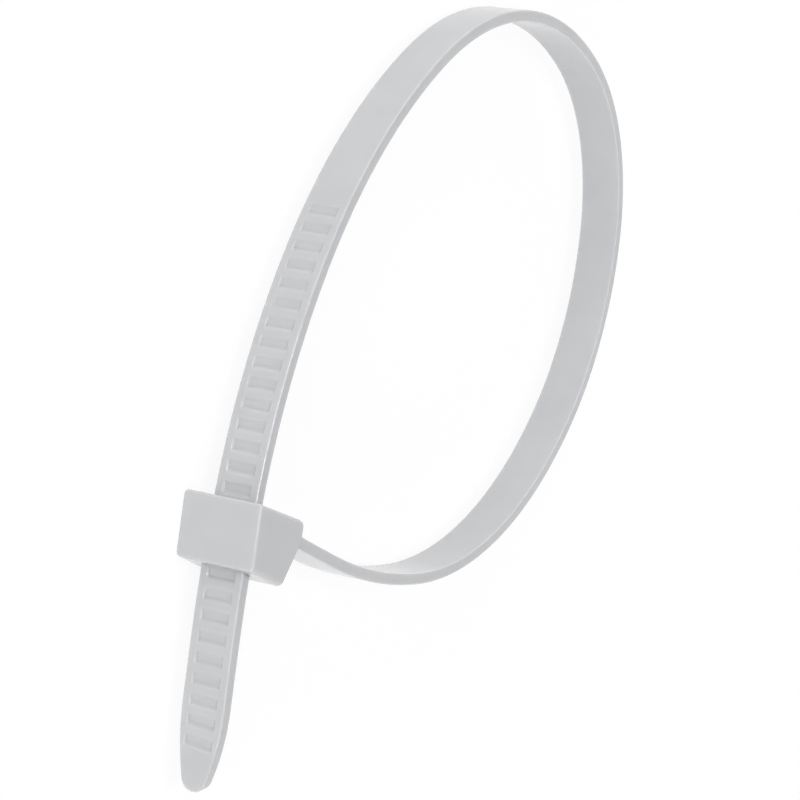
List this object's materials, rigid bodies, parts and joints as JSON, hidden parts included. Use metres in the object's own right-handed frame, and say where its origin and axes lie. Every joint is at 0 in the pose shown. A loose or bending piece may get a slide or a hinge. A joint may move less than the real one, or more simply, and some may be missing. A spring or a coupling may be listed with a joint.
{
  "type": "cable tie",
  "caption": "Natural nylon cable tie closed to a rounded loop: ladder strap with a pointed tail through a block head with a sprung pawl.",
  "frame": {"origin": "on the head's lower side face, straight under the middle of the strap where it passes through the head", "axes": "+X from the head toward the far side of the loop, +Y from the tail's tip toward the loop, +Z across the strap's width, up from the side it lies on"},
  "size_m": [0.0795, 0.0818, 0.0088],
  "materials": {
    "nylon": "satin, natural uncoloured nylon"
  },
  "bodies": {
    "root": {"cable_tie": "nylon"}
  },
  "joints": []
}
